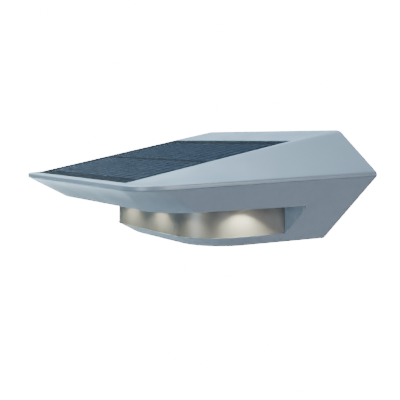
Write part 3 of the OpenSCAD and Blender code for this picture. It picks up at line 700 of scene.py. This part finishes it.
# Screws: plated steel, with a rounded head, a six-sided socket and a thread. Four long ones come up
# deep bores into the cover, four short ones hold the battery lid, and six hold the board and the
# cell tray.
def plated_steel():
    """Plated steel with fine turning marks."""
    made, tree, shader, place = finish_of("screw_plating", Metallic=1.0)
    tones(tree, shader, place, 300, (0.50, 0.50, 0.49), (0.62, 0.61, 0.59))
    tones(tree, shader, place, 500, 0.25, 0.40, "Roughness")
    grain(tree, shader, place, 3000, 0.00001, 0.2)
    return made


# Shares of the shank's radius, and of the head's radius and height
point_share, root_share, neck_share = 0.25, 0.8, 0.9
head_shares = ((0.94, 0), (1, 0.12), (1, 0.5), (0.93, 0.78), (0.75, 0.95), (0.6, 1))
socket_radius_share, socket_floor_share = 0.44, 0.42


def screw(name, shank, length, head, height, pitch):
    """A screw that stands on its tip, with its head's seat at the origin."""
    level = -length + pitch
    rings = [(shank * point_share, -length), (shank * root_share, level)]
    while level < -2 * pitch:
        rings += [(shank, level + pitch / 2), (shank * root_share, level + pitch)]
        level += pitch
    rings.append((shank * neck_share, 0))
    rings += [(head * across, height * up) for across, up in head_shares]
    made = turned(name, rings, sides=28)
    socket = rod(
        head * socket_radius_share, height * socket_floor_share, height * 2, 0, 0, sides=6
    )
    cut_out(made, socket)
    shade(made, 35)
    return made


steel = plated_steel()
# Shank radius, length, head radius, head height, thread pitch, and 1 for a head on top, -1 below
screw_kinds = {
    "housing_screws": (0.0015, 0.0160, 0.0028, 0.0024, 0.0009, -1),
    "battery_cover_screws": (0.00125, 0.0080, 0.0024, 0.0014, 0.0008, -1),
    "inner_screws": (0.00125, 0.0056, 0.0023, 0.0015, 0.0008, 1)
}
for kind, (shank, length, head, height, pitch, up) in screw_kinds.items():
    pattern = screw("pattern", shank, length, head, height, pitch)
    for k, (low, high) in enumerate(solids_of(kind), start=1):
        seat = (low + high) / 2
        seat.z = high.z - height if up > 0 else low.z + height
        driven = twin(pattern, f"{kind[:-1]}_{k}")
        put(driven, seat, (0, 0, up))
        dress(driven, steel, "lamp", "screw_steel", kind)
    bpy.data.objects.remove(pattern)


# Battery compartment: a black moulded tray over the opening in the underside, two sleeved cells
# that lie in it head to tail, nickel plated contacts at their ends, and the painted lid on its
# rubber seal.
def black_plastic():
    """Matt black moulded plastic."""
    made, tree, shader, place = finish_of("tray_black", Roughness=0.55)
    tones(tree, shader, place, 60, (0.018, 0.018, 0.019), (0.028, 0.028, 0.029))
    grain(tree, shader, place, 1600, 0.00004, 0.25)
    return made


def shrink_sleeve():
    """Blue shrink sleeve, glossy and slightly uneven."""
    made, tree, shader, place = finish_of("cell_sleeve", Roughness=0.3, Coat_Weight=0.4)
    tones(tree, shader, place, 90, (0.020, 0.085, 0.260), (0.028, 0.110, 0.320))
    grain(tree, shader, place, 120, 0.00005, 0.2)
    return made


def nickel():
    """Nickel plated spring steel."""
    made, tree, shader, place = finish_of("contact_nickel", Metallic=1.0)
    tones(tree, shader, place, 200, (0.56, 0.54, 0.49), (0.66, 0.64, 0.58))
    tones(tree, shader, place, 300, 0.22, 0.34, "Roughness")
    return made


def wire(name, points, radius, sides=3):
    """A round wire along a line of points, closed at both ends."""
    line = bpy.data.curves.new(name, "CURVE")
    line.dimensions = "3D"
    line.bevel_depth = radius
    line.bevel_resolution = sides
    line.use_fill_caps = True
    spline = line.splines.new("POLY")
    spline.points.add(len(points) - 1)
    for point, spot in zip(spline.points, points):
        point.co = (*spot, 1)
    made = bpy.data.objects.new(name, line)
    bpy.context.scene.collection.objects.link(made)
    only(made)
    bpy.ops.object.convert(target="MESH")
    made = bpy.context.object
    bpy.ops.object.mode_set(mode="EDIT")
    bpy.ops.mesh.select_all(action="SELECT")
    bpy.ops.mesh.remove_doubles(threshold=same_spot)
    bpy.ops.mesh.normals_make_consistent(inside=False)
    bpy.ops.object.mode_set(mode="OBJECT")
    shade(made, 50)
    return made


def winding(turns, cuts, wide, narrow):
    """A coil's points from its wide end: share of its length, and two distances off its axis."""
    points = []
    for step in range(turns * cuts + 1):
        share, angle = step / (turns * cuts), step / cuts * 2 * math.pi
        radius = wide + (narrow - wide) * share
        points.append((share, radius * math.cos(angle), radius * math.sin(angle)))
    return points


def rings_of(radius, start, end, foot, top):
    """Rings as shares of a radius, at distances from the start and then back from the end."""
    rings = [(radius * share, start + distance) for share, distance in foot]
    return rings + [(radius * share, end - distance) for share, distance in top]


def joined(name, pieces):
    """One piece made of several."""
    only(pieces[0])
    for piece in pieces:
        piece.select_set(True)
    bpy.ops.object.join()
    bpy.context.object.name = name
    return bpy.context.object


moulded_black = black_plastic()
tray = piece_from("battery_tray", "cell_tray")
soften(tray, 0.0003)
dress(tray, moulded_black, "lamp", "tray_black", "battery_tray")

# Each cell has a rounded flat end, a groove under its shoulder, and a nub. The rings are shares of
# its radius, at distances from the flat end or the shoulder. Both ends' middles are bare metal.
sleeve, plating = shrink_sleeve(), nickel()
cell_foot = ((0.9, 0), (0.985, 0.0001), (1, 0.0006))
cell_top = (
    (1, 0.0052), (0.965, 0.0046), (0.965, 0.004), (1, 0.0034),
    (1, 0.0006), (0.98, 0), (0.8, 0), (0.78, 0.0004)
)
bare_share = 0.79
nub_t, nub_radius, nub_sunk, nub_edge = 0.0012, 0.0028, 0.0004, 0.0003
nub_foot_share, nub_tip_share, boss_tip_share = 1.25, 0.9, 0.7
contact_t, contact_half, contact_edge, boss_edge = 0.0004, 0.0045, 0.0001, 0.0006
wire_radius, spring_wide, spring_narrow, spring_turns, spring_cuts = 0.0003, 0.0033, 0.0018, 5, 20
contacts_low, contacts_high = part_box("battery_contacts")
for k, (low, high) in enumerate(solids_of("battery_cells"), start=1):
    middle, radius, half = (low + high) / 2, (high.z - low.z) / 2, (high.x - low.x) / 2
    facing = 1 if middle.y < (contacts_low.y + contacts_high.y) / 2 else -1
    shoulder = half - nub_t
    rings = rings_of(radius, -half, shoulder, cell_foot, cell_top) + [
        (nub_radius * nub_foot_share, shoulder - nub_sunk), (nub_radius, half - nub_edge),
        (nub_radius * nub_tip_share, half)
    ]
    cell = turned(f"battery_cell_{k}", rings, middle, (facing, 0, 0), sides=56)
    for face in cell.data.polygons:
        across = Vector((face.center.y - middle.y, face.center.z - middle.z)).length
        face.material_index = int(across < radius * bare_share)
    dress(cell, [sleeve, plating], "lamp", "cell_wrap", "battery_cells")
    for end in (facing, -facing):
        wall = contacts_high.x if end > 0 else contacts_low.x
        inner = wall - end * contact_t
        tip = middle.x + end * half
        left, right = sorted((wall, inner))
        flat = block(
            "flat", (left, middle.y - contact_half, middle.z - contact_half),
            (right, middle.y + contact_half, middle.z + contact_half), contact_edge
        )
        if end == facing:
            reach = abs(inner - tip)
            boss = turned("boss", [
                (nub_radius, 0), (nub_radius, reach - boss_edge),
                (nub_radius * boss_tip_share, reach)
            ], (inner, middle.y, middle.z), (-end, 0, 0), sides=32)
        else:
            begin, stop = inner - end * wire_radius, tip + end * wire_radius
            turns = winding(spring_turns, spring_cuts, spring_wide, spring_narrow)
            boss = wire("spring", [
                (begin * (1 - share) + stop * share, middle.y + aside, middle.z + up)
                for share, aside, up in turns
            ], wire_radius)
        contact = joined(f"contact_{k}_{'nub' if end == facing else 'spring'}", [flat, boss])
        dress(contact, plating, "lamp", "contact_nickel", "battery_contacts")

lid = piece_from("battery_cover", "battery_lid")
soften(lid, 0.0003)
dress(lid, paint, "lamp", "silver_paint", "battery_cover")
seal_rubber = soft_rubber("seal_rubber", (0.020, 0.021, 0.023), (0.034, 0.035, 0.037))
seals = {"battery_cover_seal": "lid_seal", "rim_seal": "cover_seal", "switch_seal": "button_seal"}
for solid, name in seals.items():
    ring = piece_from(solid, name)
    soften(ring, 0.00025)
    dress(ring, seal_rubber, "lamp", "seal_rubber", solid)


# Switch: a small black push switch hangs under the control board. Its pale stem ends in a soft
# rubber button that stands in a dished hole in the underside.
def pale_plastic():
    """Pale hard plastic of the stem."""
    made, tree, shader, place = finish_of("stem_white", Roughness=0.45)
    tones(tree, shader, place, 200, (0.66, 0.65, 0.60), (0.74, 0.73, 0.68))
    return made


button_rubber = soft_rubber("button_rubber", (0.055, 0.060, 0.064), (0.075, 0.080, 0.084))
button = piece_from("switch_button", "push_button")
soften(button, 0.0005, sharp=50, steps=3)
dress(button, button_rubber, "button", "button_rubber", "switch_button")
stem = piece_from("switch_stem", "push_stem")
soften(stem, 0.0002)
dress(stem, pale_plastic(), "button", "stem_white", "switch_stem")
body = piece_from("switch_body", "switch_case")
soften(body, 0.0003)
dress(body, moulded_black, "lamp", "tray_black", "switch_body")

# Four legs join the switch's case to the board above it
low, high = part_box("switch_body")
leg_x, leg_y, leg_inset, leg_edge = 0.0006, 0.0012, 0.002, 0.0001
leg_places = [
    (x, y) for x in (low.x - leg_x / 2, high.x + leg_x / 2)
    for y in (low.y + leg_inset, high.y - leg_inset)
]
for k, (x, y) in enumerate(leg_places, start=1):
    leg = block(
        f"switch_leg_{k}", (x - leg_x / 2, y - leg_y / 2, low.z + leg_inset),
        (x + leg_x / 2, y + leg_y / 2, high.z - leg_edge), leg_edge
    )
    dress(leg, plating, "lamp", "contact_nickel")


# Control board: a green board on four posts, with two chips on rows of metal feet, a wound coil, a
# sleeved capacitor and three ivory plugs for the leads.
def solder_mask():
    """Green solder mask, with the darker and lighter fields of the copper under it."""
    made, tree, shader, place = finish_of("board_green", Roughness=0.35, Coat_Weight=0.3)
    fields = placed(
        tree, place, "ShaderNodeTexBrick", Scale=1, Brick_Width=0.009, Row_Height=0.0035,
        Mortar_Size=0.0004, Color1=(0.020, 0.130, 0.060, 1), Color2=(0.026, 0.160, 0.075, 1),
        Mortar=(0.012, 0.080, 0.040, 1)
    )
    tree.links.new(fields.outputs["Color"], shader.inputs["Base Color"])
    grain(tree, shader, place, 900, 0.00002, 0.2)
    return made


def copper_wire():
    """Lacquered copper wire."""
    made, tree, shader, place = finish_of("copper_wire", Metallic=0.9, Roughness=0.3)
    tones(tree, shader, place, 700, (0.50, 0.19, 0.08), (0.62, 0.26, 0.12))
    return made


def plug_plastic():
    """Ivory plug housing."""
    made, tree, shader, place = finish_of("plug_ivory", Roughness=0.5)
    tones(tree, shader, place, 200, (0.70, 0.66, 0.55), (0.78, 0.74, 0.64))
    return made


board = piece_from("control_board", "control_board_plate")
soften(board, 0.00015)
dress(board, solder_mask(), "lamp", "board_green", "control_board")

# The parts are told apart by their height: the chips are the flattest and the capacitor the tallest
chip_most, plug_least, plug_most, can_least = 0.002, 0.0035, 0.0045, 0.008
# A chip's case is narrower than its solid, and seven feet stand out along each of its long sides
case_inset, case_lift, foot_steps = 0.001, 0.0002, range(-3, 4)
foot_x, foot_y, foot_z, foot_pitch, foot_edge = 0.0004, 0.0012, 0.0007, 0.00127, 0.0001
plug_edge, well_wall, well_floor = 0.0003, 0.001, 0.0012
# Rings of the capacitor and of the coil's core, from the foot up and from the top down
can_foot = ((0.94, 0), (1, 0.0003))
can_top = ((1, 0.0018), (0.93, 0.0014), (0.93, 0.001), (1, 0.0006), (0.96, 0), (0.7, 0))
core_foot = ((1, 0), (1, 0.0009), (0.55, 0.0011))
core_top = ((0.55, 0.0011), (1, 0.0009), (1, 0.0002), (0.95, 0))
coil_turns, coil_cuts, coil_share, coil_inset, coil_radius = 7, 24, 0.72, 0.0014, 0.00018
ivory, copper = plug_plastic(), copper_wire()
for k, (low, high) in enumerate(solids_of("board_parts"), start=1):
    middle, size = (low + high) / 2, high - low
    foot_centre, radius = (middle.x, middle.y, low.z), size.x / 2
    if size.z < chip_most:
        case = block(
            f"chip_{k}", (low.x, low.y + case_inset, low.z + case_lift),
            (high.x, high.y - case_inset, high.z)
        )
        feet = [
            block(
                "foot", (x - foot_x / 2, y - foot_y / 2, low.z),
                (x + foot_x / 2, y + foot_y / 2, low.z + foot_z), foot_edge
            )
            for x in (middle.x + step * foot_pitch for step in foot_steps)
            for y in (low.y + foot_y / 2, high.y - foot_y / 2)
        ]
        dress(case, moulded_black, "lamp", "board_part", "board_parts")
        dress(joined(f"chip_feet_{k}", feet), plating, "lamp", "contact_nickel", "board_parts")
    elif plug_least < size.z < plug_most:
        shell = block(f"plug_{k}", low, high, plug_edge)
        well = block(
            "well", low + Vector((well_wall, well_wall, well_floor)),
            high + Vector((-well_wall, -well_wall, past))
        )
        cut_out(shell, well)
        dress(shell, ivory, "lamp", "board_part", "board_parts")
    elif size.z > can_least:
        rings = rings_of(radius, 0, size.z, can_foot, can_top)
        can = turned(f"capacitor_{k}", rings, foot_centre)
        dress(can, moulded_black, "lamp", "board_part", "board_parts")
    else:
        rings = rings_of(radius, 0, size.z, core_foot, core_top)
        core = turned(f"coil_core_{k}", rings, foot_centre)
        dress(core, moulded_black, "lamp", "board_part", "board_parts")
        start, height, wide = low.z + coil_inset, size.z - 2 * coil_inset, radius * coil_share
        coil = wire(f"coil_wire_{k}", [
            (middle.x + a, middle.y + b, start + height * share)
            for share, a, b in winding(coil_turns, coil_cuts, wide, wide)
        ], coil_radius)
        dress(coil, copper, "lamp", "board_part", "board_parts")


# Leads: soft sleeved wires from the panel, the lamp strip and the cells down to their plugs on the
# board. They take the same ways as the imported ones, through the same points.
def sleeve_colour(name, dark, light):
    """Soft coloured sleeve."""
    made, tree, shader, place = finish_of(name, Roughness=0.45)
    tones(tree, shader, place, 60, dark, light)
    grain(tree, shader, place, 700, 0.00002, 0.2)
    return made


def eased(points, steps=8):
    """The way through a line of points, rounded from the middle of each stretch to the next."""
    way = [points[0]]
    for a, b, c in zip(points, points[1:], points[2:]):
        way += [bend((a + b) / 2, b, (b + c) / 2, k / steps) for k in range(steps)]
    return way + [(points[-2] + points[-1]) / 2, points[-1]]


def shared_way(start, end, shares):
    """Points between two ends, as shares of the way across, back and down."""
    span = [end[k] - start[k] for k in range(3)]
    between = [Vector(start[k] + span[k] * s[k] for k in range(3)) for s in shares]
    return [start, *between, end]


lead_radius, lead_inset, plug_z = 0.00108, 0.014, -0.0114
plug_places = ((-0.036, -0.032), (0.031, -0.040), (0.031, -0.026))
panel_plug, lamp_plug, cell_plug = (Vector((x, y, plug_z)) for x, y in plug_places)
panel_start = in_roof(0, panel_back + lead_inset, pane_t + cell_t + plate_t + tape_t)
lamp_start, cell_start = Vector((0, -0.1412, 0.0075)), Vector((0.0382, -0.068, -0.0113))
out, bow = Vector((0.005, 0, 0)), Vector((0, 0, 0.008))
ways = {
    "panel_lead": shared_way(panel_start, panel_plug, [
        (0, 0.02, 0.27), (0.33, 0.35, 0.57), (0.85, 0.8, 0.78), (1, 1, 0.91)
    ]),
    "led_lead": shared_way(lamp_start, lamp_plug, [
        (0, 0, -0.28), (0, 0.08, -0.38), (0.06, 0.24, -0.3),
        (0.41, 0.57, 0.08), (0.88, 0.88, 0.35), (1, 1, 0.67)
    ]),
    "battery_lead": [
        cell_start, cell_start + out, (cell_start + cell_plug) / 2 + out + bow,
        cell_plug + bow, cell_plug
    ]
}
sleeves = {
    "panel_lead": sleeve_colour("sleeve_red", (0.36, 0.020, 0.015), (0.45, 0.030, 0.020)),
    "led_lead": sleeve_colour("sleeve_white", (0.66, 0.66, 0.64), (0.76, 0.76, 0.74)),
    "battery_lead": sleeve_colour("sleeve_black", (0.018, 0.018, 0.019), (0.030, 0.030, 0.031))
}
for name, points in ways.items():
    lead = wire(f"{name}_sleeve", eased(points), lead_radius, sides=4)
    dress(lead, sleeves[name], "lamp", "lead_sleeve", name)


# Floor and light: a pale floor well below the light, in a white room that is dim behind the light.
# Soft boxes stand low on its left, above it and on its right, and weak ones in front and behind.
paper_white = 18


def seen_white(tree, shown, kind, into):
    """Shows a stage surface plain white to the eye, while its own shader lights the object."""
    white = node(tree, kind, Color=(1, 1, 1, 1), Strength=paper_white)
    rays = node(tree, "ShaderNodeLightPath")
    choice = node(tree, "ShaderNodeMixShader")
    tree.links.new(rays.outputs["Is Camera Ray"], choice.inputs["Fac"])
    tree.links.new(shown, choice.inputs[1])
    tree.links.new(white.outputs[0], choice.inputs[2])
    tree.links.new(choice.outputs["Shader"], into)


floor_drop, floor_size = 2.0, 30
bpy.ops.mesh.primitive_plane_add(size=floor_size, location=(0, 0, -floor_drop))
floor = bpy.context.object
floor.name = "floor"
floor_paint, tree, shader, place = finish_of("pale_floor", Roughness=0.8)
tones(tree, shader, place, 2, (0.25, 0.215, 0.205), (0.29, 0.25, 0.24))
surface = tree.nodes["Material Output"].inputs["Surface"]
seen_white(tree, shader.outputs["BSDF"], "ShaderNodeEmission", surface)
floor.data.materials.append(floor_paint)

sky = bpy.data.worlds.new("white_room")
bpy.context.scene.world = sky
sky.use_nodes = True
tree = sky.node_tree
room = tree.nodes["Background"]
room.inputs["Strength"].default_value = 0.34
# The room is brightest in front of the light and a little above it
facing = node(tree, "ShaderNodeVectorMath", operation="DOT_PRODUCT")
facing.inputs[1].default_value = Vector((0.05, -0.95, 0.3)).normalized()
half_way = node(tree, "ShaderNodeMapRange", From_Min=-1)
tree.links.new(node(tree, "ShaderNodeTexCoord").outputs["Generated"], facing.inputs[0])
tree.links.new(facing.outputs["Value"], half_way.inputs["Value"])
dim, bright = (0.30, (0.024, 0.025, 0.026)), (0.95, (0.97, 0.95, 0.95))
tree.links.new(ramp(tree, half_way.outputs["Result"], dim, bright), room.inputs["Color"])
surface = tree.nodes["World Output"].inputs["Surface"]
seen_white(tree, room.outputs["Background"], "ShaderNodeBackground", surface)

aim = Vector((0, -0.1, 0.02))


def soft_box(name, place, size, power, colour):
    """A square soft box that faces the light's middle."""
    bpy.ops.object.light_add(type="AREA", location=place)
    lamp = bpy.context.object
    lamp.name = name
    lamp.rotation_euler = (aim - Vector(place)).to_track_quat("-Z", "Y").to_euler()
    lamp.data.size = size
    lamp.data.energy = power
    lamp.data.color = colour


soft_box("front_box", (-2.54, -0.60, -1.74), 1.4, 160, (0.62, 0.88, 1.0))
soft_box("top_box", (-1.70, -0.50, 2.54), 2.0, 408, (0.66, 0.88, 1.0))
soft_box("right_box", (2.84, 0.26, 0.64), 1.2, 49, (0.94, 0.93, 0.97))
soft_box("edge_box", (0.82, -2.56, -0.06), 0.7, 20, (0.70, 0.86, 1.0))
soft_box("back_box", (0.2, 2.70, 0.02), 1.2, 36, (0.85, 0.93, 1.0))

# The light's own lamps, which shine down through their windows onto the band. Each has a power, the
# distances it stands outwards and forwards of its window's middle, and how far it leans forwards.
flank = (0.52, 0.0020, 0.0028, 0.10)
corner = (0.095, -0.0010, 0.0028, 0.3)
front = (0.155, 0, 0.0012, 0)
glow_colour, glow_cone, glow_blend = (1.0, 0.925, 0.62), math.radians(136), 0.45
glow_radius, glow_drop = 0.0035, 0.0006
settings = zip(lamp_spots, (flank, corner, front, front, corner, flank))
for k, (spot, (power, outward, forward, lean)) in enumerate(settings, start=1):
    shift = Vector((math.copysign(1, spot.x) * outward, -forward, -glow_drop))
    bpy.ops.object.light_add(type="SPOT", location=spot + shift)
    glow = bpy.context.object
    glow.name = f"lamp_glow_{k}"
    glow.rotation_euler = Vector((0, -lean, -1)).to_track_quat("-Z", "Y").to_euler()
    glow.data.energy = power
    glow.data.color = glow_colour
    glow.data.spot_size = glow_cone
    glow.data.spot_blend = glow_blend
    glow.data.shadow_soft_size = glow_radius
    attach(glow, "lamp")
